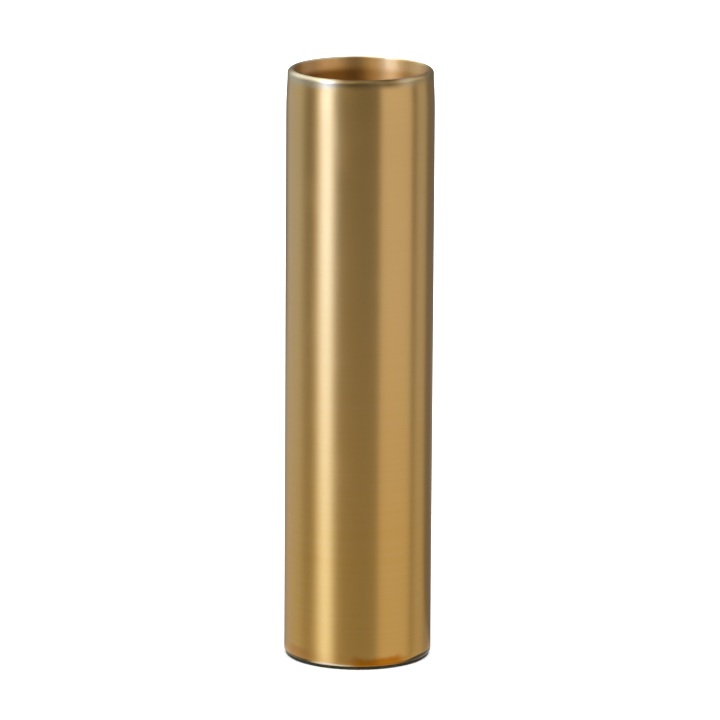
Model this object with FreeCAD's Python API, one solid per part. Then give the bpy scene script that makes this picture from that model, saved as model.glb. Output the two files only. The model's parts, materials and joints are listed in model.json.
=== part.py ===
"""Cylinder candle mould in brass: an open-mouthed tube that lifts off a turned base plug.

The mould stands on its base, mouth up.  Wax is poured in at the mouth, and the dished top
of the plug forms the candle's tip.  The wick goes out through the tapped hole in the middle
of the plug, where a thumb screw on a soft washer nips and seals it.  Two O-rings hold the
plug in the counterbored foot of the tube, and a rubber foot ring lies under both.

Frame: millimetres, +Z up, origin at the centre of the face the mould stands on.
"""

import FreeCAD, Part
import math
import os

OUT = "parts"

# Overall size
HEIGHT = 202.0
TUBE_RADIUS = 25.0
WALL = 2.5
BORE_RADIUS = TUBE_RADIUS - WALL

# Mouth of the tube: the outside is buffed in over the last stretch, then rounded over
BUFFED_LENGTH = 15.5
BUFFED_HOLLOW = 3.5  # the highest part of it, which curves back to upright under the lip
BUFFED_DEPTH = 0.42
LIP_OUTER_ROUND = 1.5
LIP_INNER_ROUND = 0.5
FOOT_EDGE_ROUND = 0.8

# Rubber foot ring, which shows as a thin dark line under the tube
FOOT_THICKNESS = 1.0
FOOT_INSET = 0.6
FOOT_INNER_RADIUS = 19.5
FOOT_EDGE = 0.2

# Seat for the plug in the foot of the tube
SEAT_SHOULDER = 0.6
SEAT_RADIUS = BORE_RADIUS + SEAT_SHOULDER
SEAT_TOP = 15.0
SEAT_LEAD_IN = 0.5

# Base plug
PLUG_CLEARANCE = 0.1
PLUG_RADIUS = SEAT_RADIUS - PLUG_CLEARANCE
PLUG_EDGE = 0.3
PLUG_WALL_INNER_RADIUS = 17.5
PLUG_SKIRT_BOTTOM = 0.4
DISH_RIM_RADIUS = BORE_RADIUS - PLUG_CLEARANCE
DISH_DEPTH = 3.0
DISH_SAG = 0.5
RECESS_CEILING = 8.5
RECESS_FILLET = 1.6
BOSS_RADIUS = 7.5
BOSS_BOTTOM = 6.5
BOSS_FILLET = 1.2

# O-rings, drawn as squeezed between groove and seat
GROOVE_HEIGHTS = {"lower": 4.6, "upper": 11.2}
GROOVE_WIDTH = 2.3
GROOVE_DEPTH = 1.4
O_RING_WIDTH = 1.9
O_RING_CLEARANCE = 0.05

# Wick screw: a right-hand thread of 6 mm with 1 mm pitch
THREAD_PITCH = 1.0
SCREW_CREST_RADIUS = 2.92
SCREW_ROOT_RADIUS = 2.38
THREAD_CLEARANCE = 0.12
THREAD_FLAT = 0.16
THREAD_FLANK = 0.34
SCREW_NOSE_CHAMFER = 0.4
SCREW_END_DEPTH = 0.3  # below the bottom of the dish
SCREW_HEAD_RADIUS = 6.6
SCREW_HEAD_BOTTOM = 1.0
SCREW_HEAD_THICKNESS = 4.0
SCREW_THREAD_START = 6.0
SCREW_THREAD_TURNS = 5
KNURL_COUNT = 40
KNURL_DEPTH = 0.35
KNURL_CHAMFER = 0.5
COIN_SLOT_WIDTH = 1.6
COIN_SLOT_DEPTH = 1.5

# Soft washer under the screw's head
WASHER_RADIUS = 6.2
WASHER_HOLE_RADIUS = 3.15
WASHER_EDGE = 0.25

DISH_BOTTOM = SEAT_TOP - DISH_DEPTH
SCREW_HEAD_TOP = SCREW_HEAD_BOTTOM + SCREW_HEAD_THICKNESS
SCREW_END = DISH_BOTTOM - SCREW_END_DEPTH
EXTRA = 2.0  # how far a cutting tool runs past the face that it cuts
OVERLAP = 0.1  # how far a thread runs into the cylinder that it is joined to
SAME = 1e-6  # two heights or radii closer than this are the same

AXIS_POINT = FreeCAD.Vector(0, 0, 0)
AXIS = FreeCAD.Vector(0, 0, 1)


def at(radius, z):
    """A point of a turned outline, in the XZ plane."""
    return FreeCAD.Vector(radius, 0, z)


def line(a, b):
    return Part.LineSegment(a, b).toShape()


def arc(centre, radius, start_deg, end_deg):
    """An arc in the XZ plane about centre, with 0 degrees pointing away from the axis."""
    points = []
    for angle in (start_deg, (start_deg + end_deg) / 2, end_deg):
        turn = math.radians(angle)
        points.append(centre + at(radius * math.cos(turn), radius * math.sin(turn)))
    return Part.Arc(*points).toShape()


def turned(edges):
    """The solid swept by a closed outline turned once about the Z axis."""
    outline = Part.Wire(Part.__sortEdges__(edges))
    return Part.Face(outline).revolve(AXIS_POINT, AXIS, 360)


def closed_lines(*points):
    """Straight edges through the points and back to the first."""
    return [line(a, b) for a, b in zip(points, points[1:] + points[:1])]


def end_of(edge):
    return edge.valueAt(edge.LastParameter)


def start_of(edge):
    return edge.valueAt(edge.FirstParameter)


def buffed_stretch():
    """Two tangent arcs from the straight wall in to the lip: a long one, then a hollow one."""
    buffed_start = HEIGHT - BUFFED_LENGTH
    rise = BUFFED_LENGTH - LIP_OUTER_ROUND
    slope = 2 * math.atan(BUFFED_DEPTH / rise)
    long_radius = (rise - BUFFED_HOLLOW) / math.sin(slope)
    hollow_radius = BUFFED_HOLLOW / math.sin(slope)
    long_centre = at(TUBE_RADIUS - long_radius, buffed_start)
    reach = long_radius + hollow_radius
    hollow_centre = long_centre + at(reach * math.cos(slope), reach * math.sin(slope))
    turn = math.degrees(slope)
    long_arc = arc(long_centre, long_radius, 0, turn)
    hollow_arc = arc(hollow_centre, hollow_radius, 180 + turn, 180)
    return long_arc, hollow_arc


def mould_tube():
    """The tube: rounded mouth, plain bore, and a shouldered seat for the plug at its foot."""
    foot = FOOT_THICKNESS
    long_arc, hollow_arc = buffed_stretch()
    lip_centre = at(TUBE_RADIUS - BUFFED_DEPTH - LIP_OUTER_ROUND, HEIGHT - LIP_OUTER_ROUND)
    lip_outer = arc(lip_centre, LIP_OUTER_ROUND, 0, 90)
    inner_centre = at(BORE_RADIUS + LIP_INNER_ROUND, HEIGHT - LIP_INNER_ROUND)
    lip_inner = arc(inner_centre, LIP_INNER_ROUND, 90, 180)
    foot_centre = at(TUBE_RADIUS - FOOT_EDGE_ROUND, foot + FOOT_EDGE_ROUND)
    foot_round = arc(foot_centre, FOOT_EDGE_ROUND, -90, 0)
    bore_foot = at(BORE_RADIUS, SEAT_TOP)
    shoulder = at(SEAT_RADIUS, SEAT_TOP)
    seat_foot = at(SEAT_RADIUS, foot + SEAT_LEAD_IN)
    lead_in = at(SEAT_RADIUS + SEAT_LEAD_IN, foot)
    return turned(
        [
            foot_round,
            line(end_of(foot_round), start_of(long_arc)),
            long_arc,
            hollow_arc,
            lip_outer,
            line(end_of(lip_outer), start_of(lip_inner)),
            lip_inner,
            line(end_of(lip_inner), bore_foot),
            line(bore_foot, shoulder),
            line(shoulder, seat_foot),
            line(seat_foot, lead_in),
            line(lead_in, start_of(foot_round)),
        ]
    )


def foot_ring():
    """The flat rubber ring under the plug's rim and the tube's end."""
    outer = TUBE_RADIUS - FOOT_INSET
    top = FOOT_THICKNESS
    return turned(
        closed_lines(
            at(FOOT_INNER_RADIUS, 0),
            at(outer - FOOT_EDGE, 0),
            at(outer, FOOT_EDGE),
            at(outer, top - FOOT_EDGE / 2),
            at(outer - FOOT_EDGE / 2, top),
            at(FOOT_INNER_RADIUS, top),
        )
    )


def plug_blank():
    """The turned plug before its grooves and its tapped hole are cut."""
    rim = at(PLUG_RADIUS - PLUG_EDGE, SEAT_TOP)
    dish_rim = at(DISH_RIM_RADIUS, SEAT_TOP)
    dish_middle = at(DISH_RIM_RADIUS / 2, SEAT_TOP - DISH_DEPTH / 2 - DISH_SAG)
    dish_bottom = at(0, DISH_BOTTOM)
    dish = Part.Arc(dish_rim, dish_middle, dish_bottom).toShape()
    boss_root = at(BOSS_RADIUS, RECESS_CEILING)
    boss_foot = at(BOSS_RADIUS, BOSS_BOTTOM)
    ceiling_edge = at(PLUG_WALL_INNER_RADIUS - RECESS_FILLET, RECESS_CEILING)
    fillet_centre = at(PLUG_WALL_INNER_RADIUS - RECESS_FILLET, RECESS_CEILING - RECESS_FILLET)
    recess_fillet = arc(fillet_centre, RECESS_FILLET, 90, 0)
    skirt_inner = at(PLUG_WALL_INNER_RADIUS, PLUG_SKIRT_BOTTOM)
    skirt_outer = at(FOOT_INNER_RADIUS, PLUG_SKIRT_BOTTOM)
    ring_seat = at(FOOT_INNER_RADIUS, FOOT_THICKNESS)
    flank_foot = at(PLUG_RADIUS - PLUG_EDGE, FOOT_THICKNESS)
    flank_low = at(PLUG_RADIUS, FOOT_THICKNESS + PLUG_EDGE)
    flank_high = at(PLUG_RADIUS, SEAT_TOP - PLUG_EDGE)
    return turned(
        [
            dish,
            line(dish_bottom, at(0, BOSS_BOTTOM)),
            line(at(0, BOSS_BOTTOM), boss_foot),
            line(boss_foot, boss_root),
            line(boss_root, ceiling_edge),
            recess_fillet,
            line(at(PLUG_WALL_INNER_RADIUS, RECESS_CEILING - RECESS_FILLET), skirt_inner),
            line(skirt_inner, skirt_outer),
            line(skirt_outer, ring_seat),
            line(ring_seat, flank_foot),
            line(flank_foot, flank_low),
            line(flank_low, flank_high),
            line(flank_high, rim),
            line(rim, dish_rim),
        ]
    )


def o_ring_groove(middle):
    """The square groove that an O-ring lies in, as a cutting tool."""
    inner = PLUG_RADIUS - GROOVE_DEPTH
    low = middle - GROOVE_WIDTH / 2
    high = middle + GROOVE_WIDTH / 2
    outer = PLUG_RADIUS + EXTRA
    return turned(closed_lines(at(inner, low), at(outer, low), at(outer, high), at(inner, high)))


def o_ring(middle):
    """One O-ring, flattened against the bottom of its groove and close to the seat."""
    inner = PLUG_RADIUS - GROOVE_DEPTH
    outer = SEAT_RADIUS - O_RING_CLEARANCE
    end_round = (outer - inner) / 2
    straight = O_RING_WIDTH / 2 - end_round
    top_centre = at(inner + end_round, middle + straight)
    low_centre = at(inner + end_round, middle - straight)
    top_arc = arc(top_centre, end_round, 0, 180)
    low_arc = arc(low_centre, end_round, 180, 360)
    return turned(
        [
            top_arc,
            line(end_of(top_arc), start_of(low_arc)),
            low_arc,
            line(end_of(low_arc), start_of(top_arc)),
        ]
    )


def thread_ridge(root_radius, crest_radius, grow, start, turns):
    """A right-hand helical ridge. Grow widens it each way, for the matching groove."""
    half_flat = THREAD_FLAT / 2 + grow
    half_root = THREAD_FLAT / 2 + THREAD_FLANK + grow
    section = Part.Wire(
        closed_lines(
            at(root_radius, start - half_root),
            at(crest_radius, start - half_flat),
            at(crest_radius, start + half_flat),
            at(root_radius, start + half_root),
        )
    )
    helix = Part.makeHelix(THREAD_PITCH, turns * THREAD_PITCH, root_radius)
    helix.translate(at(0, start))
    return Part.Wire(helix).makePipeShell([section], True, True)


def tapped_hole():
    """The plug's threaded wick hole, as a cutting tool, with a lead-in at its foot."""
    minor = SCREW_ROOT_RADIUS + THREAD_CLEARANCE
    major = SCREW_CREST_RADIUS + THREAD_CLEARANCE
    low = BOSS_BOTTOM - EXTRA
    high = DISH_BOTTOM + EXTRA
    drill = Part.makeCylinder(minor, high - low, at(0, low))
    start = math.floor(low)
    turns = (high - start) / THREAD_PITCH
    groove = thread_ridge(minor - OVERLAP, major, THREAD_CLEARANCE / 2, start, turns)
    lead_in_top = BOSS_BOTTOM + major - minor + OVERLAP
    lead_in = turned(
        closed_lines(
            at(0, low),
            at(major + EXTRA, low),
            at(minor - OVERLAP, lead_in_top),
            at(0, lead_in_top),
        )
    )
    return drill.fuse(groove).fuse(lead_in)


def base_plug():
    """The plug: dished top, recessed underside with a boss, two grooves and the tapped hole."""
    plug = plug_blank()
    for middle in GROOVE_HEIGHTS.values():
        plug = plug.cut(o_ring_groove(middle))
    boss_root = [
        edge
        for edge in plug.Edges
        if abs(edge.BoundBox.ZMin - RECESS_CEILING) < SAME
        and abs(edge.BoundBox.ZMax - RECESS_CEILING) < SAME
        and abs(edge.BoundBox.XMax - BOSS_RADIUS) < SAME
    ]
    plug = plug.makeFillet(BOSS_FILLET, boss_root)
    return plug.cut(tapped_hole())


def knurled_head():
    """The thumb screw's head: straight-knurled, chamfered, with a coin slot underneath."""
    step = math.pi / KNURL_COUNT
    rim = []
    for tooth in range(KNURL_COUNT):
        for radius, turn in (
            (SCREW_HEAD_RADIUS, 2 * tooth * step),
            (SCREW_HEAD_RADIUS - KNURL_DEPTH, (2 * tooth + 1) * step),
        ):
            rim.append(
                FreeCAD.Vector(
                    radius * math.cos(turn), radius * math.sin(turn), SCREW_HEAD_BOTTOM
                )
            )
    star = Part.Face(Part.makePolygon(rim + rim[:1]))
    head = star.extrude(FreeCAD.Vector(0, 0, SCREW_HEAD_THICKNESS))
    envelope = turned(
        closed_lines(
            at(0, SCREW_HEAD_BOTTOM),
            at(SCREW_HEAD_RADIUS - KNURL_CHAMFER, SCREW_HEAD_BOTTOM),
            at(SCREW_HEAD_RADIUS, SCREW_HEAD_BOTTOM + KNURL_CHAMFER),
            at(SCREW_HEAD_RADIUS, SCREW_HEAD_TOP - KNURL_CHAMFER),
            at(SCREW_HEAD_RADIUS - KNURL_CHAMFER, SCREW_HEAD_TOP),
            at(0, SCREW_HEAD_TOP),
        )
    )
    slot = Part.makeBox(
        2 * (SCREW_HEAD_RADIUS + EXTRA),
        COIN_SLOT_WIDTH,
        COIN_SLOT_DEPTH + EXTRA,
        FreeCAD.Vector(
            -SCREW_HEAD_RADIUS - EXTRA, -COIN_SLOT_WIDTH / 2, SCREW_HEAD_BOTTOM - EXTRA
        ),
    )
    return head.common(envelope).cut(slot)


def wick_screw():
    """The thumb screw that nips the wick: threaded shank on a knurled head."""
    core = turned(
        closed_lines(
            at(0, SCREW_HEAD_TOP),
            at(SCREW_ROOT_RADIUS, SCREW_HEAD_TOP),
            at(SCREW_ROOT_RADIUS, SCREW_END - SCREW_NOSE_CHAMFER),
            at(SCREW_ROOT_RADIUS - SCREW_NOSE_CHAMFER, SCREW_END),
            at(0, SCREW_END),
        )
    )
    ridge = thread_ridge(
        SCREW_ROOT_RADIUS - OVERLAP,
        SCREW_CREST_RADIUS,
        0,
        SCREW_THREAD_START,
        SCREW_THREAD_TURNS,
    )
    return knurled_head().fuse(core.fuse(ridge))


def wick_washer():
    """The soft washer between the screw's head and the plug's boss."""
    return turned(
        closed_lines(
            at(WASHER_HOLE_RADIUS, SCREW_HEAD_TOP),
            at(WASHER_RADIUS - WASHER_EDGE, SCREW_HEAD_TOP),
            at(WASHER_RADIUS, SCREW_HEAD_TOP + WASHER_EDGE),
            at(WASHER_RADIUS, BOSS_BOTTOM - WASHER_EDGE),
            at(WASHER_RADIUS - WASHER_EDGE, BOSS_BOTTOM),
            at(WASHER_HOLE_RADIUS, BOSS_BOTTOM),
        )
    )


def all_parts():
    """Every piece of the mould by its name."""
    parts = {
        "mould_tube": mould_tube(),
        "base_plug": base_plug(),
        "foot_ring": foot_ring(),
        "wick_screw": wick_screw(),
        "wick_washer": wick_washer(),
    }
    for place, middle in GROOVE_HEIGHTS.items():
        parts["o_ring_" + place] = o_ring(middle)
    return parts


def main():
    os.makedirs(OUT, exist_ok=True)
    for name, shape in all_parts().items():
        solids = shape.Solids
        print(name, "valid", shape.isValid(), "solids", len(solids), "mm3", round(shape.Volume, 1))
        shape.exportStep(os.path.join(OUT, name + ".step"))


main()
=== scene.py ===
"""Looks for the brass cylinder candle mould: satin brass tube on a turned plug with a rubber foot.

Everything is in metres in the CAD frame: +Z up, origin at the centre of the face it stands on.
"""

import json
import math

import bmesh
import bpy
from mathutils import Euler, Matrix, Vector


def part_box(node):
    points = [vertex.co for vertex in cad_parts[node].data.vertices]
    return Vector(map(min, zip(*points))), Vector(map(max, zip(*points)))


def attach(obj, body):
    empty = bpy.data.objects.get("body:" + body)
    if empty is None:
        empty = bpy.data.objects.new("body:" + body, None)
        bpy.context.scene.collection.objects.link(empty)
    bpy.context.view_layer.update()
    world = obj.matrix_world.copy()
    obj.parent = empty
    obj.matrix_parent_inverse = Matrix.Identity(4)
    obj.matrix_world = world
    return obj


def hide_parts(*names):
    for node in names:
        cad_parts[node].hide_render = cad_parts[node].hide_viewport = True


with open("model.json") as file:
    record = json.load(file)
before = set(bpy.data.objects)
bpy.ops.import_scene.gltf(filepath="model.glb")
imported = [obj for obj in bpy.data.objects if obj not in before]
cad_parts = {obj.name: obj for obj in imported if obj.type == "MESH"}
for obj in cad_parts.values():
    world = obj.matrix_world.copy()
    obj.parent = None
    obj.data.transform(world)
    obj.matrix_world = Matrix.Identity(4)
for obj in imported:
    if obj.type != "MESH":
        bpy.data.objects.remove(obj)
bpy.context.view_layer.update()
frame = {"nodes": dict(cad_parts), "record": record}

MM = 0.001
SLIGHT = 0.01 * MM  # what two equal sizes may differ by
FULL_TURN = 2 * math.pi

# ---------------------------------------------------------------- sizes, from the frame
tube_low, tube_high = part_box("mould_tube")
plug_low, plug_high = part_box("base_plug")
mounts = {mount["name"]: mount for mount in frame["record"]["mounts"]}

TUBE_RADIUS = (tube_high.x - tube_low.x) / 2
TUBE_FOOT = tube_low.z
TUBE_TOP = tube_high.z
BORE_RADIUS = mounts["candle_bore"]["dims"]["r_mm"] * MM
PLUG_RADIUS = (plug_high.x - plug_low.x) / 2
PLUG_FOOT = plug_low.z
SEAT_TOP = plug_high.z
SEAT_RADIUS = PLUG_RADIUS + 0.1 * MM

# ---------------------------------------------------------------- sizes of the details
# The tube: the buffed stretch draws in by its depth, and the hollow is its upper part
BUFFED_LENGTH = 15.5 * MM
BUFFED_HOLLOW = 3.5 * MM
BUFFED_DEPTH = 0.42 * MM
LIP_OUTER_ROUND = 1.5 * MM
LIP_INNER_ROUND = 0.5 * MM
FOOT_ROUND = 0.8 * MM
SEAT_LEAD_IN = 0.5 * MM

# The plug: a dished top, two grooves, and a recess with a boss round the hole
PLUG_EDGE = 0.3 * MM
DISH_RIM_RADIUS = BORE_RADIUS - 0.1 * MM
DISH_DEPTH = 3.0 * MM
DISH_SAG = 0.5 * MM
GROOVE_WIDTH = 2.3 * MM
GROOVE_DEPTH = 1.4 * MM
GROOVE_EDGE = 0.12 * MM
RECESS_RADIUS = 17.5 * MM
RECESS_CEILING = 8.5 * MM
RECESS_FILLET = 1.6 * MM
BOSS_RADIUS = 7.5 * MM
BOSS_BOTTOM = 6.5 * MM
BOSS_FILLET = 1.2 * MM

# The tapped wick hole: a groove every millimetre, which rises as it goes round
HOLE_RADIUS = 2.5 * MM
HOLE_GROOVE_RADIUS = 3.04 * MM
THREAD_PITCH = 1.0 * MM
GROOVE_HALF_FLAT = 0.14 * MM
GROOVE_SLOPE = 1.88

# The foot ring and the wick screw's washer
RING_HOLE_RADIUS = 19.5 * MM
FOOT_EDGE = 0.2 * MM
WASHER_HOLE_RADIUS = 3.15 * MM
WASHER_EDGE = 0.25 * MM

# How finely the turned outlines are cut, and how sharp an edge has to be to show as one
SEGMENTS = 256
WALL_STEPS = 40
SEAT_STEPS = 4
BUFFED_STEPS = 14
HOLLOW_STEPS = 8
LIP_STEPS = 18
ROUND_STEPS = 10
DISH_STEPS = 40
HOLE_STEPS = 72
FILLET_STEPS = 8
O_RING_STEPS = 14
EDGE_STEPS = 4
GROOVE_EDGE_STEPS = 3
FOOT_EDGE_STEPS = 5
SHARP_ANGLE = 35

# ---------------------------------------------------------------- numbers of the looks
# Angles are in degrees: azimuths are nought at the front and grow to the right. A stretch is its
# middle azimuth, half its width and its soft edge. A layer is where a measure starts and ends
# fading in, the most that the layer covers, and its tint. A fade is its two ends alone.

# Noises: the stretch on each axis, the scale, the detail and the roughness
BRUSHING = ((16, 16, 900), 1.0, 3, 0.5)
CLOUDS = ((1, 1, 0.6), 26, 4, 0.55)
SMUDGES = ((1, 1, 1), 85, 3, 0.6)
RUBBING = ((1, 1, 1), 120, 4, 0.5)
DENTS = ((1, 1, 2.5), 260, 3, 0.5)
BORING = ((12, 12, 1400), 1.0, 3, 0.5)
WAX_FILM = ((1, 1, 0.5), 45, 5, 0.6)
TURNED_CLOUDS = ((1, 1, 1), 70, 3, 0.5)
DUST = ((1, 1, 1), 240, 5, 0.65)
GRAIN = ((1, 1, 1), 2600, 2, 0.5)
NICK_SCALE = 420.0
TOOL_MARK_SCALE = 1500.0
NOISE_MEAN = 0.5
NOISE_RANGE = (0.3, 0.7)  # where most of a noise's values lie

# Bumps: the strength and the distance
BRUSHED_BUMP = (0.04, 0.04 * MM)
DENTED_BUMP = (0.35, 0.25 * MM)
BORED_BUMP = (0.06, 0.06 * MM)
TOOL_BUMP = (0.15, 0.05 * MM)
RUBBER_BUMP = (0.25, 0.05 * MM)

# The tube's outside
UPPER_BRASS = (0.82, 0.525, 0.205)
# Towards the foot the brass turns darker and warmer: partly tarnish, partly a painted warm
# reflection of the lit table
LOWER_TARNISH_AND_REFLECTION = (TUBE_TOP * 0.75, 0.0, 1.0, (0.775, 0.443, 0.106))
CLOUD_LAYER = (0.35, 0.75, 0.35, (0.76, 0.47, 0.16))
BRUSHED_LAYER = (0.3, 0.8, 0.14, (0.86, 0.58, 0.26))
BROWN_LAYER = (7 * MM, 1.5 * MM, 0.35, (0.70, 0.34, 0.08))
TUBE_ROUGH = (0.282, 0.305)
SMUDGE_FADE = (0.45, 0.75)
SMUDGE_ROUGH = 0.03
LIP_ROUGH = 0.13
TUBE_BRUSHED = 0.75

# Each stain at the foot: middle azimuth and half its width, its top, its share and its tint
FOOT_STAINS = (
    (18, 22, 4.2 * MM, 0.95, (0.58, 0.20, 0.006)),
    (-55, 13, 5.5 * MM, 0.6, (0.66, 0.28, 0.07)),
    (150, 22, 3.8 * MM, 0.7, (0.56, 0.24, 0.04)),
    (-140, 12, 3.2 * MM, 0.6, (0.60, 0.26, 0.05)),
)
STAIN_SOFT = 8
STAIN_UNEVEN = 6 * MM
STAIN_ABOVE = 1.0 * MM
STAIN_BELOW = 1.2 * MM

# The rounded edge at the foot: painted shade at the sides, a painted highlight in front
EDGE_FADE = (TUBE_FOOT + 1.5 * FOOT_ROUND, TUBE_FOOT + 0.8 * FOOT_ROUND)
CORNER_STRETCH = (72, 24, 10)
CORNER_RISE = 0.8 * MM
SIDE_SHADE_FADE = (math.radians(26), math.radians(46))
SIDE_SHADE_SHARES = (0.3, 0.95)
SIDE_SHADE_TINT = (0.05, 0.04, 0.02)
FRONT_HIGHLIGHT_STRETCH = (-22, 14, 8)
FRONT_HIGHLIGHT_TINT = (0.80, 0.68, 0.46)

# The lip: pale, partly rubbed brass and partly a painted highlight that is painted wider on the
# left; ragged below, nicked
LIP_BRASS = (0.76, 0.65, 0.44)
RUBBED_LAYER = (0.3, 0.7, 1.0, (0.68, 0.54, 0.32))
LIP_FADE = (TUBE_TOP - 3.2 * MM, TUBE_TOP - 0.4 * MM)
LIP_RAGGED = 1.2 * MM
WIDE_HIGHLIGHT_STRETCH = (-52, 26, 14)
WIDE_HIGHLIGHT_BY = 0.7 * MM
DENT_FADE = (TUBE_TOP - 2.2 * MM, TUBE_TOP - 1.0 * MM)
NICK_FADE = (0.10, 0.02)
NICK_DEPTH = 0.5

# Each stretch of painted shade on the lip: middle azimuth and half its width, its share and its
# tint
LIP_PAINTED_SHADE = (
    (96, 50, 0.8, (0.62, 0.42, 0.17)),
    (10, 24, 0.9, (0.36, 0.24, 0.09)),
    (22, 8, 0.8, (0.19, 0.12, 0.045)),
    (-10, 11, 0.9, (0.16, 0.11, 0.045)),
    (-47, 10, 0.45, (0.40, 0.33, 0.20)),
)
LIP_SHADE_SOFT = 10

# The bore: a film of old wax, an orange streak of painted warm reflection near the top, and
# painted shade deeper down, browner left of the middle
BORE_BRASS = (0.95, 0.68, 0.34)
FILM_LAYER = (0.35, 0.7, 1.0, (0.90, 0.55, 0.21))
RING_LAYER = (0.35, 0.7, 0.4, (0.90, 0.68, 0.34))
STREAK_PLACE = -4 * MM
STREAK_FADE = (13 * MM, 3 * MM)
STREAK_SHARE = 0.6
STREAK_HEIGHT_FADE = (TUBE_TOP - 1.5 * MM, TUBE_TOP - 5 * MM)
STREAK_REFLECTION_TINT = (0.84, 0.44, 0.08)
DEEP_FADE = (TUBE_TOP - 2.9 * MM, TUBE_TOP - 5.6 * MM)
DEEP_SHARE = 0.95
DEEP_SHADE_LEFT = (0.38, 0.17, 0.028)
DEEP_SHADE_RIGHT_LAYER = (-9 * MM, 8 * MM, 1.0, (0.76, 0.42, 0.14))
BORE_ROUGH = (0.52, 0.60)
BORE_BRUSHED = 0.95

# The turned plug and screw: each has its brass and the tint of its clouds
PLUG_BRASS = ((0.80, 0.55, 0.24), (0.74, 0.47, 0.18))
SCREW_BRASS = ((0.78, 0.54, 0.24), (0.72, 0.46, 0.18))
TURNED_CLOUD_FADE = (0.35, 0.7)
TOOL_MARK_FADE = (0.35, 0.65)
TOOL_MARK_SHARE = 0.5
TOOL_MARK_DARKER = 0.8
TURNED_ROUGH = (0.30, 0.36)
TURNED_BRUSHED = 0.6

# The rubbers: colour, colour where dusty, and roughness
SEAL_RUBBER = ((0.010, 0.010, 0.010), (0.02, 0.02, 0.02), 0.42)
FOOT_RUBBER = ((0.016, 0.018, 0.010), (0.040, 0.044, 0.026), 0.65)
WASHER_RUBBER = ((0.32, 0.06, 0.035), (0.40, 0.12, 0.08), 0.55)
DUST_FADE = (0.4, 0.75)
RUBBER_UNEVEN = 0.08
RUBBER_SHINE = 0.25
RUBBER_SHINE_TINT = (1.0, 0.86, 0.66, 1.0)

# ---------------------------------------------------------------- numbers of the studio
# A world fade is where it starts and ends along one part of the direction that is looked in.
WHITE = (1.0, 1.0, 1.0)
AMBIENT = (0.18, 0.17, 0.135)
CEILING_LEFT = (1.45, 1.5, 1.5)
CEILING_RIGHT = (0.20, 0.19, 0.15)
CEILING_BACK = (0.85, 0.85, 0.82)
TOP_LIGHT = (0.5, 0.5, 0.45)
LEFT_TO_RIGHT = (-0.6, -0.15)
FRONT_TO_BACK = (0.25, 0.75)
WALL_TO_CEILING = (0.20, 0.75)
CEILING_TO_TOP = (0.72, 0.92)

# Each panel: middle azimuth, half its width and its soft edge, its light, how many times brighter
# it is in its upper part, and how far its foot leans to the right.
PANELS = (
    (-58, 15, 8, (0.82, 0.77, 0.62), 2.0, 8),
    (-56, 10, 5.5, (1.4, 1.84, 3.15), 3.4, 8),
    (-127, 26, 10, (0.46, 0.51, 0.58), 4.5, 8),
    (60, 28, 4, (0.61, 0.585, 0.58), 2.6, 0),
    (112, 13, 6, (0.45, 0.455, 0.46), 2.6, 0),
    (162, 26, 8, (0.17, 0.17, 0.18), 1.5, 0),
)
PANEL_BRIGHTENS = (0.15, 0.55)
PANEL_LEANS = (-0.1, -0.4)

# Lights high up, which reach mostly into the bore: middle, half width, soft edge and light
HIGH_LIGHTS = ((-28, 14, 8, (4.4, 3.75, 2.4)), (-86, 14, 7, (6.0, 5.4, 4.4)))
HIGH_UP = (0.60, 0.78)

FLOOR_SIZE = 12
FLOOR_GREY = (0.9, 0.9, 0.9, 1.0)

# The glow that the lit table gives to reflections, brightest close to the mould
TABLE_RADIUS = 0.5
TABLE_SIDES = 96
TABLE_SUNK = 0.2 * MM
TABLE_GLOW = (0.62, 0.60, 0.58)
TABLE_SHARE = 0.4
TABLE_SHADE = (134, 18, 7)  # the stretch that hardly glows
TABLE_SHADE_SHARE = 0.05
BESIDE_FADE = (TUBE_RADIUS + 6 * MM, TUBE_RADIUS + 2 * MM)
BESIDE_GLOW = (1.0, 0.98, 0.9)
BESIDE_SHARE = 0.95

OVERHEAD_HEIGHT = 1.5
OVERHEAD_SPREAD = 100
OVERHEAD_STRENGTH = 3.4

CAMERA_PLACE = (0.00033, -2.200, 0.5951)
CAMERA_PITCH = 12.6365
CAMERA_ROLL = 0.356
CAMERA_LENS = 333.4
CAMERA_SENSOR = 36
CAMERA_NEAR = 0.05
CAMERA_FAR = 50


# ---------------------------------------------------------------- node helpers
MIX_A, MIX_B, MIX_RESULT = 6, 7, 2  # the colour sockets of a Mix node
AGAINST_TANGENT = 0.25  # a quarter of a turn


def add(tree, kind, inputs=None, **settings):
    """A new node with its settings made and its inputs set or linked."""
    made = tree.nodes.new(kind)
    for key, value in settings.items():
        setattr(made, key, value)
    for key, value in (inputs or {}).items():
        if isinstance(value, bpy.types.NodeSocket):
            tree.links.new(value, made.inputs[key])
        else:
            made.inputs[key].default_value = value
    return made


def maths(tree, operation, a, b=0.0):
    return add(tree, "ShaderNodeMath", {0: a, 1: b}, operation=operation).outputs[0]


def fade(tree, value, start, end, low=0.0, high=1.0):
    """Low before start, high after end, and smooth between."""
    settings = {"Value": value, "From Min": start, "From Max": end, "To Min": low, "To Max": high}
    return add(tree, "ShaderNodeMapRange", settings, interpolation_type="SMOOTHSTEP").outputs[0]


def blend(tree, factor, a, b):
    """Colour a where the factor is nought, b where it is one."""
    mixed = add(tree, "ShaderNodeMix", {"Factor": factor}, data_type="RGBA")
    for socket, value in ((mixed.inputs[MIX_A], a), (mixed.inputs[MIX_B], b)):
        if isinstance(value, bpy.types.NodeSocket):
            tree.links.new(value, socket)
        else:
            socket.default_value = (*value, 1.0)
    return mixed.outputs[MIX_RESULT]


def cover(tree, colour, measure, layer):
    """A layer's tint laid over a colour where the measure fades in."""
    start, end, share, tint = layer
    return blend(tree, fade(tree, measure, start, end, 0.0, share), colour, tint)


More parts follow.
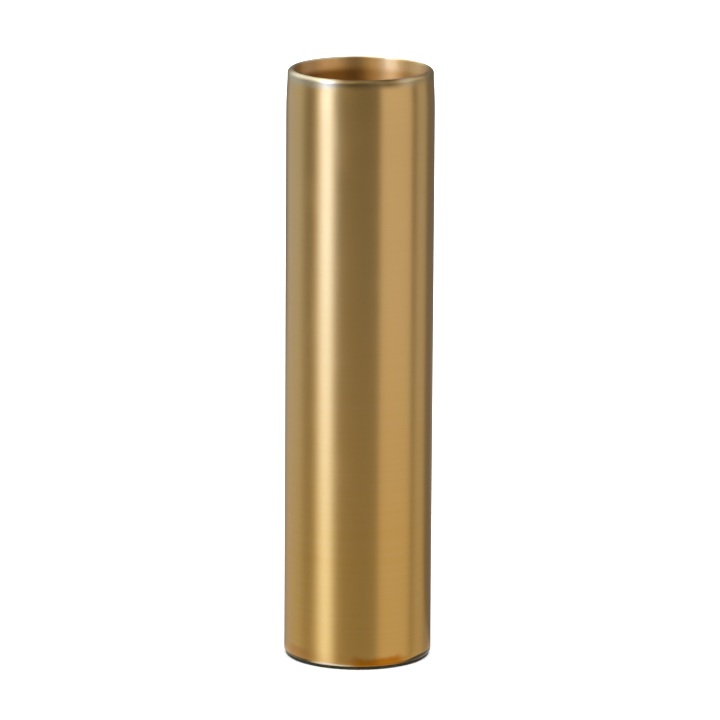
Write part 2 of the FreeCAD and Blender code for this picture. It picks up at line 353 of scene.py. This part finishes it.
def noise(tree, place, stretch, scale, detail, rough):
    """Noise over the object's own coordinates, stretched by a scale on each axis."""
    scaled = add(tree, "ShaderNodeMapping", {"Vector": place, "Scale": stretch}).outputs[0]
    settings = {"Vector": scaled, "Scale": scale, "Detail": detail, "Roughness": rough}
    return add(tree, "ShaderNodeTexNoise", settings).outputs[0]


def bump(tree, height, strength, distance, under=None):
    """A bumped normal, on top of another one if that is given."""
    inputs = {"Strength": strength, "Distance": distance, "Height": height}
    if under is not None:
        inputs["Normal"] = under
    return add(tree, "ShaderNodeBump", inputs).outputs[0]


def split(tree, vector):
    """The X, Y and Z parts of a vector."""
    return add(tree, "ShaderNodeSeparateXYZ", {0: vector}).outputs


def azimuth_of(tree, parts):
    """The angle round the Z axis in radians: nought at the front, growing to the right."""
    toward_front = maths(tree, "MULTIPLY", parts["Y"], -1.0)
    return maths(tree, "ARCTAN2", parts["X"], toward_front)


def window(tree, azimuth, centre, half_width, soft):
    """One inside a stretch of azimuths and nought outside it."""
    offset = maths(tree, "ABSOLUTE", maths(tree, "SUBTRACT", azimuth, math.radians(centre)))
    outside = math.radians(half_width + soft)
    inside = math.radians(half_width - soft)
    return fade(tree, offset, outside, inside)


def new_material(name):
    """A material and its node tree, which is still empty."""
    material = bpy.data.materials.new(name)
    material.use_nodes = True
    material.node_tree.nodes.clear()
    return material, material.node_tree


def own_place(tree):
    """The object's own coordinates."""
    return add(tree, "ShaderNodeTexCoord").outputs["Object"]


def finish_material(tree, shader):
    add(tree, "ShaderNodeOutputMaterial", {"Surface": shader.outputs[0]})


def finish_brass(tree, colour, rough, brushed, normal):
    """Metal whose highlights are drawn out along the axis, as brushing or turning round does."""
    tangent = add(tree, "ShaderNodeTangent", direction_type="RADIAL", axis="Z").outputs[0]
    inputs = {
        "Base Color": colour,
        "Metallic": 1.0,
        "Roughness": rough,
        "Anisotropic": brushed,
        "Anisotropic Rotation": AGAINST_TANGENT,
        "Tangent": tangent,
        "Normal": normal,
    }
    finish_material(tree, add(tree, "ShaderNodeBsdfPrincipled", inputs))


# ---------------------------------------------------------------- materials
def stained_foot_and_painted_edge(tree, colour, height, turn, smudge):
    """Tarnish that has crept up from the foot, and its rounded edge with painted shade at the
    sides and a painted highlight in front.
    """
    uneven = maths(tree, "MULTIPLY", maths(tree, "SUBTRACT", smudge, NOISE_MEAN), STAIN_UNEVEN)
    stain_height = maths(tree, "ADD", height, uneven)
    colour = cover(tree, colour, stain_height, BROWN_LAYER)
    for centre, half_width, top, share, tint in FOOT_STAINS:
        band = window(tree, turn, centre, half_width, STAIN_SOFT)
        low = fade(tree, stain_height, top + STAIN_ABOVE, top - STAIN_BELOW)
        patch = maths(tree, "MULTIPLY", maths(tree, "MULTIPLY", band, low), share)
        colour = blend(tree, patch, colour, tint)
    # Painted shade on the foot's rounded edge at the sides, and a painted highlight on it in front
    rise = maths(tree, "MULTIPLY", window(tree, turn, *CORNER_STRETCH), CORNER_RISE)
    edge = fade(tree, maths(tree, "SUBTRACT", height, rise), *EDGE_FADE)
    painted_front_highlight = maths(tree, "MULTIPLY", edge, window(tree, turn, *FRONT_HIGHLIGHT_STRETCH))
    off_front = maths(tree, "ABSOLUTE", turn)
    painted_side_shade = fade(tree, off_front, *SIDE_SHADE_FADE, *SIDE_SHADE_SHARES)
    colour = blend(tree, maths(tree, "MULTIPLY", edge, painted_side_shade), colour, SIDE_SHADE_TINT)
    return blend(tree, painted_front_highlight, colour, FRONT_HIGHLIGHT_TINT)


def lip_wear_and_painted_light(tree, place, height, turn):
    """How much of a point is lip, painted wider on the left as a pale highlight, and the lip's
    colour: rubbed brass with stretches of painted shade.
    """
    rub = noise(tree, place, *RUBBING)
    lip_colour_with_painted_light = cover(tree, LIP_BRASS, rub, RUBBED_LAYER)
    # Stretches of the lip painted darker: painted shade in its reflections
    for centre, half_width, share, tint in LIP_PAINTED_SHADE:
        stretch = window(tree, turn, centre, half_width, LIP_SHADE_SOFT)
        lip_colour_with_painted_light = blend(tree, maths(tree, "MULTIPLY", stretch, share), lip_colour_with_painted_light, tint)
    ragged = maths(tree, "ADD", height, maths(tree, "MULTIPLY", rub, LIP_RAGGED))
    # The pale lip reaches lower on the left: a painted highlight
    wider = maths(tree, "MULTIPLY", window(tree, turn, *WIDE_HIGHLIGHT_STRETCH), WIDE_HIGHLIGHT_BY)
    return fade(tree, maths(tree, "ADD", ragged, wider), *LIP_FADE), lip_colour_with_painted_light


def nicked_lip(tree, place, height):
    """The dents and nicks of the lip, as a height for a bump."""
    dents = noise(tree, place, *DENTS)
    nicks = add(tree, "ShaderNodeTexVoronoi", {"Vector": place, "Scale": NICK_SCALE}).outputs[0]
    dents = maths(tree, "SUBTRACT", dents, fade(tree, nicks, *NICK_FADE, 0.0, NICK_DEPTH))
    return maths(tree, "MULTIPLY", dents, fade(tree, height, *DENT_FADE))


def tube_brass():
    """Satin brass, brushed around: stained and painted warmer towards the foot, painted shade and
    a painted highlight on the foot's edge, and a pale, rubbed, nicked lip with painted highlight
    and shade.
    """
    material, tree = new_material("tube_brass")
    place = own_place(tree)
    parts = split(tree, place)
    height = parts["Z"]
    turn = azimuth_of(tree, parts)
    brushing = noise(tree, place, *BRUSHING)
    cloud = noise(tree, place, *CLOUDS)
    smudge = noise(tree, place, *SMUDGES)

    colour = cover(tree, UPPER_BRASS, height, LOWER_TARNISH_AND_REFLECTION)
    colour = cover(tree, colour, cloud, CLOUD_LAYER)
    colour = cover(tree, colour, brushing, BRUSHED_LAYER)
    colour = stained_foot_and_painted_edge(tree, colour, height, turn, smudge)
    near_lip, lip_colour_with_painted_light = lip_wear_and_painted_light(tree, place, height, turn)
    colour = blend(tree, near_lip, colour, lip_colour_with_painted_light)

    rough = fade(tree, cloud, *NOISE_RANGE, *TUBE_ROUGH)
    rough = maths(tree, "ADD", rough, fade(tree, smudge, *SMUDGE_FADE, 0.0, SMUDGE_ROUGH))
    rough = maths(tree, "ADD", rough, maths(tree, "MULTIPLY", near_lip, LIP_ROUGH))
    normal = bump(tree, brushing, *BRUSHED_BUMP)
    normal = bump(tree, nicked_lip(tree, place, height), *DENTED_BUMP, normal)
    finish_brass(tree, colour, rough, TUBE_BRUSHED, normal)
    return material


def bore_brass():
    """The wall inside: bored around, duller, with a film of old wax, a painted warm reflection
    near the top and painted shade that deepens below.
    """
    material, tree = new_material("bore_brass")
    place = own_place(tree)
    parts = split(tree, place)
    height = parts["Z"]
    rings = noise(tree, place, *BORING)
    film = noise(tree, place, *WAX_FILM)

    colour = cover(tree, BORE_BRASS, film, FILM_LAYER)
    colour = cover(tree, colour, rings, RING_LAYER)
    # An orange streak left of the middle near the top: a painted warm reflection
    aside = maths(tree, "ABSOLUTE", maths(tree, "SUBTRACT", parts["X"], STREAK_PLACE))
    streak = fade(tree, aside, *STREAK_FADE, 0.0, STREAK_SHARE)
    streak = maths(tree, "MULTIPLY", streak, fade(tree, height, *STREAK_HEIGHT_FADE))
    colour = blend(tree, streak, colour, STREAK_REFLECTION_TINT)
    # Painted shade deeper in the bore, browner left of the middle
    painted_deep_shade = cover(tree, DEEP_SHADE_LEFT, parts["X"], DEEP_SHADE_RIGHT_LAYER)
    colour = blend(tree, fade(tree, height, *DEEP_FADE, 0.0, DEEP_SHARE), colour, painted_deep_shade)

    rough = fade(tree, film, *NOISE_RANGE, *BORE_ROUGH)
    finish_brass(tree, colour, rough, BORE_BRUSHED, bump(tree, rings, *BORED_BUMP))
    return material


def turned_brass(name, colour, cloud_tint):
    """Brass straight from the lathe, with fine tool marks round it and a little dulled."""
    material, tree = new_material(name)
    place = own_place(tree)
    parts = split(tree, place)
    level = add(tree, "ShaderNodeCombineXYZ", {0: parts["X"], 1: parts["Y"]}).outputs[0]
    radius = add(tree, "ShaderNodeVectorMath", {0: level}, operation="LENGTH").outputs["Value"]
    settings = {"W": maths(tree, "ADD", radius, parts["Z"]), "Scale": TOOL_MARK_SCALE}
    marks = add(tree, "ShaderNodeTexNoise", settings, noise_dimensions="1D").outputs[0]
    cloud = noise(tree, place, *TURNED_CLOUDS)

    colour = cover(tree, colour, cloud, (*TURNED_CLOUD_FADE, 1.0, cloud_tint))
    mark_tint = tuple(TOOL_MARK_DARKER * part for part in cloud_tint)
    colour = cover(tree, colour, marks, (*TOOL_MARK_FADE, TOOL_MARK_SHARE, mark_tint))
    rough = fade(tree, cloud, *NOISE_RANGE, *TURNED_ROUGH)
    finish_brass(tree, colour, rough, TURNED_BRUSHED, bump(tree, marks, *TOOL_BUMP))
    return material


def rubber(name, colour, dusty, roughness):
    """Moulded rubber with a dusty, slightly uneven skin."""
    material, tree = new_material(name)
    place = own_place(tree)
    dust = noise(tree, place, *DUST)
    low, high = roughness - RUBBER_UNEVEN, roughness + RUBBER_UNEVEN
    inputs = {
        "Base Color": cover(tree, colour, dust, (*DUST_FADE, 1.0, dusty)),
        "Roughness": fade(tree, dust, *NOISE_RANGE, low, high),
        "Specular IOR Level": RUBBER_SHINE,
        "Specular Tint": RUBBER_SHINE_TINT,
        "Normal": bump(tree, noise(tree, place, *GRAIN), *RUBBER_BUMP),
    }
    finish_material(tree, add(tree, "ShaderNodeBsdfPrincipled", inputs))
    return material


# ---------------------------------------------------------------- meshes
def arc(centre, radius, start, end, steps):
    """Points of an arc in a turned outline, with 0 degrees pointing away from the axis."""
    points = []
    for step in range(steps + 1):
        turn = math.radians(start + (end - start) * step / steps)
        points.append((centre[0] + radius * math.cos(turn), centre[1] + radius * math.sin(turn)))
    return points


def straight(a, b, steps=1):
    """Points from a to b, without a itself."""
    return [
        (a[0] + (b[0] - a[0]) * step / steps, a[1] + (b[1] - a[1]) * step / steps)
        for step in range(1, steps + 1)
    ]


def lathe(name, outline, materials, material_at=lambda radius, z: 0, shift=lambda i, turn: 0.0):
    """A closed outline of (radius, z) points turned about the Z axis. Shift moves a point out."""
    mesh = bpy.data.meshes.new(name)
    form = bmesh.new()
    rings = []
    for segment in range(SEGMENTS):
        turn = FULL_TURN * segment / SEGMENTS
        ring = []
        for i, (radius, z) in enumerate(outline):
            out = radius + shift(i, turn)
            ring.append(form.verts.new((out * math.cos(turn), out * math.sin(turn), z)))
        rings.append(ring)
    for segment in range(SEGMENTS):
        here = rings[segment]
        after = rings[(segment + 1) % SEGMENTS]
        for i in range(len(outline)):
            j = (i + 1) % len(outline)
            face = form.faces.new((here[i], after[i], after[j], here[j]))
            face.smooth = True
            mid_radius = (outline[i][0] + outline[j][0]) / 2
            mid_z = (outline[i][1] + outline[j][1]) / 2
            face.material_index = material_at(mid_radius, mid_z)
    bmesh.ops.recalc_face_normals(form, faces=form.faces)
    form.to_mesh(mesh)
    form.free()
    mesh.set_sharp_from_angle(angle=math.radians(SHARP_ANGLE))
    piece = bpy.data.objects.new(name, mesh)
    for material in materials:
        mesh.materials.append(material)
    bpy.context.scene.collection.objects.link(piece)
    return piece


def buffed_stretch():
    """Two tangent arcs from the straight wall in to the lip: a long one, then a hollow one."""
    rise = BUFFED_LENGTH - LIP_OUTER_ROUND
    slope = 2 * math.atan(BUFFED_DEPTH / rise)
    long_radius = (rise - BUFFED_HOLLOW) / math.sin(slope)
    hollow_radius = BUFFED_HOLLOW / math.sin(slope)
    reach = long_radius + hollow_radius
    long_centre = (TUBE_RADIUS - long_radius, TUBE_TOP - BUFFED_LENGTH)
    hollow_centre = (
        long_centre[0] + reach * math.cos(slope),
        long_centre[1] + reach * math.sin(slope),
    )
    turn = math.degrees(slope)
    points = arc(long_centre, long_radius, 0, turn, BUFFED_STEPS)[:-1]
    return points + arc(hollow_centre, hollow_radius, 180 + turn, 180, HOLLOW_STEPS)[:-1]


def tube_outline():
    """The tube's wall: buffed mouth, rounded lip, plain bore and the shouldered seat."""
    foot_centre = (TUBE_RADIUS - FOOT_ROUND, TUBE_FOOT + FOOT_ROUND)
    lip_centre = (TUBE_RADIUS - BUFFED_DEPTH - LIP_OUTER_ROUND, TUBE_TOP - LIP_OUTER_ROUND)
    inner_centre = (BORE_RADIUS + LIP_INNER_ROUND, TUBE_TOP - LIP_INNER_ROUND)
    outline = arc(foot_centre, FOOT_ROUND, -90, 0, ROUND_STEPS)
    outline += straight(outline[-1], (TUBE_RADIUS, TUBE_TOP - BUFFED_LENGTH), WALL_STEPS)[:-1]
    outline += buffed_stretch()
    outline += arc(lip_centre, LIP_OUTER_ROUND, 0, 90, LIP_STEPS)
    outline += arc(inner_centre, LIP_INNER_ROUND, 90, 180, ROUND_STEPS)
    outline += straight(outline[-1], (BORE_RADIUS, SEAT_TOP), WALL_STEPS)
    outline += straight(outline[-1], (SEAT_RADIUS, SEAT_TOP))
    outline += straight(outline[-1], (SEAT_RADIUS, TUBE_FOOT + SEAT_LEAD_IN), SEAT_STEPS)
    outline += straight(outline[-1], (SEAT_RADIUS + SEAT_LEAD_IN, TUBE_FOOT))
    return outline


def put_in_place(piece, body, node):
    """The piece rides with its body and stands in for the CAD node."""
    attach(piece, body)
    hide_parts(node)


def make_tube():
    def wall(radius, z):
        """The bore and the seat have the second material, the outside and the lip the first."""
        in_bore = radius < BORE_RADIUS + SLIGHT
        in_seat = radius < SEAT_RADIUS + SEAT_LEAD_IN and z < SEAT_TOP + SLIGHT
        return 1 if in_bore or in_seat else 0

    tube = lathe("brass_tube", tube_outline(), [tube_brass(), bore_brass()], wall)
    put_in_place(tube, "tube", "mould_tube")


def dish_arc():
    """The dished top of the plug from its rim in to the wick hole: one shallow arc.

    It sags below the straight line from the rim to the bottom of the dish on the axis.
    """
    rim = Vector((DISH_RIM_RADIUS, SEAT_TOP))
    bottom = Vector((0.0, SEAT_TOP - DISH_DEPTH))
    chord = bottom - rim
    middle = rim + chord / 2
    sagged = Vector((middle.x, middle.y - DISH_SAG))
    upward = Vector((chord.y, -chord.x)).normalized()
    half = chord.length / 2
    sag = (sagged - middle).length
    # The centre lies on the chord's bisector, as far from the rim as from the sagged point
    centre = middle + upward * ((half * half - sag * sag) / (2 * upward.y * sag))
    radius = (rim - centre).length
    points = []
    for step in range(DISH_STEPS + 1):
        out = DISH_RIM_RADIUS + (HOLE_RADIUS - DISH_RIM_RADIUS) * step / DISH_STEPS
        fall = math.sqrt(radius * radius - (out - centre.x) ** 2)
        points.append((out, centre.y - fall))
    return points


def groove(middle):
    """An O-ring's groove in the plug's flank, from its lower edge to its upper one."""
    low = middle - GROOVE_WIDTH / 2
    high = middle + GROOVE_WIDTH / 2
    floor = PLUG_RADIUS - GROOVE_DEPTH
    shoulder = PLUG_RADIUS - GROOVE_EDGE
    points = arc((shoulder, low - GROOVE_EDGE), GROOVE_EDGE, 0, 90, GROOVE_EDGE_STEPS)
    points += [(floor, low), (floor, high)]
    points += arc((shoulder, high + GROOVE_EDGE), GROOVE_EDGE, -90, 0, GROOVE_EDGE_STEPS)
    return points


def plug_outline():
    """The plug from its dished top, down the hole and round by the recess to the flank."""
    dish = dish_arc()
    boss_corner = (BOSS_RADIUS + BOSS_FILLET, RECESS_CEILING - BOSS_FILLET)
    recess_corner = (RECESS_RADIUS - RECESS_FILLET, RECESS_CEILING - RECESS_FILLET)
    hole_top = (HOLE_RADIUS, dish[-1][1])
    hole_foot = (HOLE_RADIUS, BOSS_BOTTOM)
    outline = dish + straight(hole_top, hole_foot, HOLE_STEPS)
    outline += [(BOSS_RADIUS - PLUG_EDGE, BOSS_BOTTOM), (BOSS_RADIUS, BOSS_BOTTOM + PLUG_EDGE)]
    outline += arc(boss_corner, BOSS_FILLET, 180, 90, FILLET_STEPS)
    outline += arc(recess_corner, RECESS_FILLET, 90, 0, FILLET_STEPS)
    outline += [
        (RECESS_RADIUS, PLUG_FOOT + PLUG_EDGE),
        (RECESS_RADIUS + PLUG_EDGE, PLUG_FOOT),
        (RING_HOLE_RADIUS - PLUG_EDGE, PLUG_FOOT),
        (RING_HOLE_RADIUS, PLUG_FOOT + PLUG_EDGE),
        (RING_HOLE_RADIUS, TUBE_FOOT),
        (PLUG_RADIUS - PLUG_EDGE, TUBE_FOOT),
        (PLUG_RADIUS, TUBE_FOOT + PLUG_EDGE),
    ]
    for name in ("o_ring_lower", "o_ring_upper"):
        low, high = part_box(name)
        outline += groove((low.z + high.z) / 2)
    flank_top = (PLUG_RADIUS - PLUG_EDGE, SEAT_TOP - PLUG_EDGE)
    return outline + arc(flank_top, PLUG_EDGE, 0, 90, EDGE_STEPS)


def make_plug():
    outline = plug_outline()

    def thread(i, turn):
        """How far the hole's groove cuts into its wall at a point of the outline."""
        radius, z = outline[i]
        if radius > HOLE_RADIUS + SLIGHT or z > SEAT_TOP - DISH_DEPTH:
            return 0.0
        along = z / THREAD_PITCH - turn / FULL_TURN
        off = abs(along - round(along)) * THREAD_PITCH
        depth = HOLE_GROOVE_RADIUS - HOLE_RADIUS - GROOVE_SLOPE * max(off - GROOVE_HALF_FLAT, 0.0)
        return max(depth, 0.0)

    brass = turned_brass("plug_brass", *PLUG_BRASS)
    plug = lathe("turned_plug", outline, [brass], shift=thread)
    put_in_place(plug, "base", "base_plug")


def make_o_rings():
    """The two O-rings, squeezed a little flat."""
    seal = rubber("seal_rubber", *SEAL_RUBBER)
    for name in ("o_ring_lower", "o_ring_upper"):
        low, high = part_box(name)
        inner = PLUG_RADIUS - GROOVE_DEPTH
        end_round = (high.x - inner) / 2
        centre = inner + end_round
        outline = arc((centre, high.z - end_round), end_round, 0, 180, O_RING_STEPS)
        outline += arc((centre, low.z + end_round), end_round, 180, 360, O_RING_STEPS)
        put_in_place(lathe(name + "_rubber", outline, [seal]), "base", name)


def make_foot_ring():
    """The flat ring that the mould stands on."""
    foot = rubber("foot_rubber", *FOOT_RUBBER)
    low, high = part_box("foot_ring")
    lower_edge = (high.x - FOOT_EDGE, low.z + FOOT_EDGE)
    upper_edge = (high.x - FOOT_EDGE / 2, TUBE_FOOT - FOOT_EDGE / 2)
    outline = [(RING_HOLE_RADIUS, low.z)]
    outline += arc(lower_edge, FOOT_EDGE, -90, 0, FOOT_EDGE_STEPS)
    outline += arc(upper_edge, FOOT_EDGE / 2, 0, 90, EDGE_STEPS)
    outline += [(RING_HOLE_RADIUS, TUBE_FOOT)]
    put_in_place(lathe("rubber_foot", outline, [foot]), "base", "foot_ring")


def make_washer():
    """The soft washer under the wick screw's head."""
    red = rubber("washer_rubber", *WASHER_RUBBER)
    low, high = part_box("wick_washer")
    rim = high.x - WASHER_EDGE
    outline = [(WASHER_HOLE_RADIUS, low.z)]
    outline += arc((rim, low.z + WASHER_EDGE), WASHER_EDGE, -90, 0, EDGE_STEPS)
    outline += arc((rim, high.z - WASHER_EDGE), WASHER_EDGE, 0, 90, EDGE_STEPS)
    outline += [(WASHER_HOLE_RADIUS, high.z)]
    put_in_place(lathe("soft_washer", outline, [red]), "washer", "wick_washer")


def dress_screw():
    """The wick screw keeps its CAD mesh, knurls and thread, and gets its finished material."""
    mesh = frame["nodes"]["wick_screw"].data
    mesh.materials.clear()
    mesh.materials.append(turned_brass("screw_brass", *SCREW_BRASS))


# ---------------------------------------------------------------- studio
def studio_world():
    """Soft panels standing round the mould, for its reflections. All else sees plain white."""
    world = bpy.data.worlds.new("studio")
    bpy.context.scene.world = world
    world.use_nodes = True
    tree = world.node_tree
    tree.nodes.clear()
    parts = split(tree, add(tree, "ShaderNodeTexCoord").outputs["Generated"])
    up = parts["Z"]
    azimuth = azimuth_of(tree, parts)

    ceiling = blend(tree, fade(tree, parts["X"], *LEFT_TO_RIGHT), CEILING_LEFT, CEILING_RIGHT)
    ceiling = blend(tree, fade(tree, parts["Y"], *FRONT_TO_BACK), ceiling, CEILING_BACK)
    light = blend(tree, fade(tree, up, *WALL_TO_CEILING), AMBIENT, ceiling)
    for centre, half_width, soft, colour, lift, lean in PANELS:
        gain = fade(tree, up, *PANEL_BRIGHTENS, 1.0, lift)
        panel = add(tree, "ShaderNodeVectorMath", {0: colour, "Scale": gain}, operation="SCALE")
        leant = fade(tree, up, *PANEL_LEANS, 0.0, math.radians(lean))
        upright = maths(tree, "SUBTRACT", azimuth, leant)
        band = window(tree, upright, centre, half_width, soft)
        light = blend(tree, band, light, panel.outputs[0])
    light = blend(tree, fade(tree, up, *CEILING_TO_TOP), light, TOP_LIGHT)
    high_up = fade(tree, up, *HIGH_UP)
    for centre, half_width, soft, colour in HIGH_LIGHTS:
        band = window(tree, azimuth, centre, half_width, soft)
        light = blend(tree, maths(tree, "MULTIPLY", band, high_up), light, colour)

    reflected = add(tree, "ShaderNodeLightPath").outputs["Is Glossy Ray"]
    colour = blend(tree, reflected, WHITE, light)
    background = add(tree, "ShaderNodeBackground", {"Color": colour})
    add(tree, "ShaderNodeOutputWorld", {"Surface": background.outputs[0]})


def studio_floor():
    """A plain pale floor that reflections don't show."""
    bpy.ops.mesh.primitive_plane_add(size=FLOOR_SIZE)
    floor = bpy.context.object
    floor.name = "floor"
    material, tree = new_material("pale_floor")
    finish_material(tree, add(tree, "ShaderNodeBsdfDiffuse", {"Color": FLOOR_GREY}))
    floor.data.materials.append(material)
    floor.visible_glossy = False


def table_glow():
    """What reflections show in the floor's place: a glow round the mould."""
    bpy.ops.mesh.primitive_circle_add(vertices=TABLE_SIDES, radius=TABLE_RADIUS, fill_type="NGON")
    table = bpy.context.object
    table.name = "table_glow"
    table.location.z = -TABLE_SUNK
    material, tree = new_material("table_glow")
    place = own_place(tree)
    radius = add(tree, "ShaderNodeVectorMath", {0: place}, operation="LENGTH").outputs["Value"]
    beside = fade(tree, radius, *BESIDE_FADE)
    colour = blend(tree, beside, TABLE_GLOW, BESIDE_GLOW)
    shade = window(tree, azimuth_of(tree, split(tree, place)), *TABLE_SHADE)
    far_share = fade(tree, shade, 0.0, 1.0, TABLE_SHARE, TABLE_SHADE_SHARE)
    near_share = maths(tree, "MULTIPLY", beside, BESIDE_SHARE)
    share = maths(tree, "MAXIMUM", far_share, near_share)
    glow = add(tree, "ShaderNodeEmission", {"Color": colour})
    clear = add(tree, "ShaderNodeBsdfTransparent")
    mixed = add(tree, "ShaderNodeMixShader", {0: share, 1: clear.outputs[0], 2: glow.outputs[0]})
    finish_material(tree, mixed)
    table.data.materials.append(material)
    table.visible_camera = False
    table.visible_diffuse = False
    table.visible_shadow = False


def overhead_light():
    """Wide, soft light from above, which reflections don't show."""
    lamp = bpy.data.lights.new("overhead", "SUN")
    lamp.angle = math.radians(OVERHEAD_SPREAD)
    lamp.energy = OVERHEAD_STRENGTH
    above = bpy.data.objects.new("overhead", lamp)
    above.location = (0.0, 0.0, OVERHEAD_HEIGHT)
    above.visible_glossy = False
    bpy.context.scene.collection.objects.link(above)


def make_camera():
    data = bpy.data.cameras.new("camera")
    data.sensor_width = CAMERA_SENSOR
    data.lens = CAMERA_LENS
    data.clip_start = CAMERA_NEAR
    data.clip_end = CAMERA_FAR
    camera = bpy.data.objects.new("camera", data)
    camera.location = CAMERA_PLACE
    tilt = Euler((math.radians(90 - CAMERA_PITCH), 0.0, 0.0)).to_quaternion()
    roll = Euler((0.0, 0.0, math.radians(CAMERA_ROLL))).to_quaternion()
    camera.rotation_euler = (tilt @ roll).to_euler()
    bpy.context.scene.collection.objects.link(camera)
    bpy.context.scene.camera = camera


def main():
    make_tube()
    make_plug()
    make_o_rings()
    make_foot_ring()
    make_washer()
    dress_screw()
    studio_world()
    studio_floor()
    table_glow()
    overhead_light()
    make_camera()
    bpy.context.scene.view_settings.view_transform = "Standard"


main()
